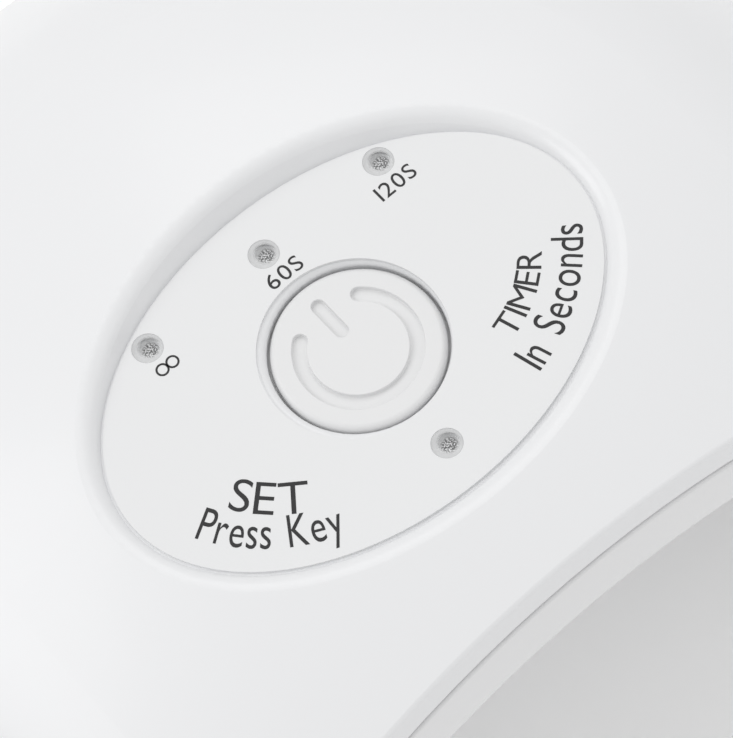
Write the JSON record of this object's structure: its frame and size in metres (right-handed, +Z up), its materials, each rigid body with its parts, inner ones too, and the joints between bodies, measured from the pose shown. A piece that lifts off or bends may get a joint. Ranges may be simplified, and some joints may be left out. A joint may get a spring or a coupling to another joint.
{
  "type": "uv led nail lamp",
  "caption": "White dome-shaped nail curing lamp with an arched open front, an oval control field, a round power button, timer lamps and UV/LED beads lining its tunnel.",
  "frame": {"origin": "middle of the plan, on the table under the feet", "axes": "+Z up, the open front faces -Y, +X to the right seen from behind the opening's user"},
  "size_m": [0.148, 0.1414, 0.0666],
  "materials": {
    "shell_white": "glossy moulded white",
    "label_white": "fine matte film with grey print",
    "button_white": "satin moulded white",
    "liner_white": "satin moulded white",
    "frame_white": "fine-textured moulded white",
    "foot_grey": "soft grey rubber",
    "board_green": "solder mask over glass laminate",
    "board_alu": "white mask over aluminium",
    "part_black": "moulded epoxy",
    "coil_grey": "ferrite",
    "can_alu": "bright drawn can",
    "chip_tan": "ceramic",
    "connector_cream": "nylon",
    "plunger_black": "moulded nylon",
    "lamp_clear": "diffused clear epoxy",
    "bead_base": "white ceramic",
    "bead_lens": "clear silicone dome",
    "screw_steel": "zinc plated",
    "socket_steel": "drawn stainless",
    "wire_red": "insulation",
    "wire_black": "insulation",
    "wire_white": "insulation"
  },
  "bodies": {
    "root": {"base_frame": "frame_white", "board_capacitors": "chip_tan", "board_resistors": "part_black", "board_screws": "screw_steel", "case_screws": "screw_steel", "control_board": "board_green", "control_label": "label_white", "driver_transistors": "part_black", "electrolytic_capacitor": "can_alu", "indicator_lamp_120s": "lamp_clear", "indicator_lamp_60s": "lamp_clear", "indicator_lamp_hold": "lamp_clear", "indicator_lamp_power": "lamp_clear", "inlet_board": "board_green", "inlet_board_screws": "screw_steel", "inlet_connector": "connector_cream", "inner_liner": "liner_white", "lamp_board_screws": "screw_steel", "lamp_connector": "connector_cream", "lamp_wires": "wire_white", "left_lamp_board": "board_alu", "power_inductor": "coil_grey", "rear_lamp_boards": "board_alu", "right_lamp_board": "board_alu", "roof_lamp_board": "board_alu", "rubber_feet": "foot_grey", "socket_shell": "socket_steel", "socket_tongue": "part_black", "supply_wire_black": "wire_black", "supply_wire_red": "wire_red", "tact_switch_body": "part_black", "timer_chip": "part_black", "top_shell": "shell_white", "uv_bead_bases": "bead_base", "uv_bead_lenses": "bead_lens"},
    "power_button": {"power_button": "button_white"},
    "tact_plunger": {"tact_plunger": "plunger_black"}
  },
  "joints": [
    {"name": "power_button_press", "type": "slide", "parent": "root", "child": "power_button", "axis": [0, 0, -1], "range_m": [0, 0.0005], "stiffness_N_per_m": 1000, "springref_m": -0.0003},
    {"name": "tact_plunger_press", "type": "slide", "parent": "root", "child": "tact_plunger", "axis": [0, 0, -1], "range_m": [0, 0.0005]}
  ],
  "couplings": [
    {"joint": "tact_plunger_press", "follows": "power_button_press", "ratio": 1}
  ]
}
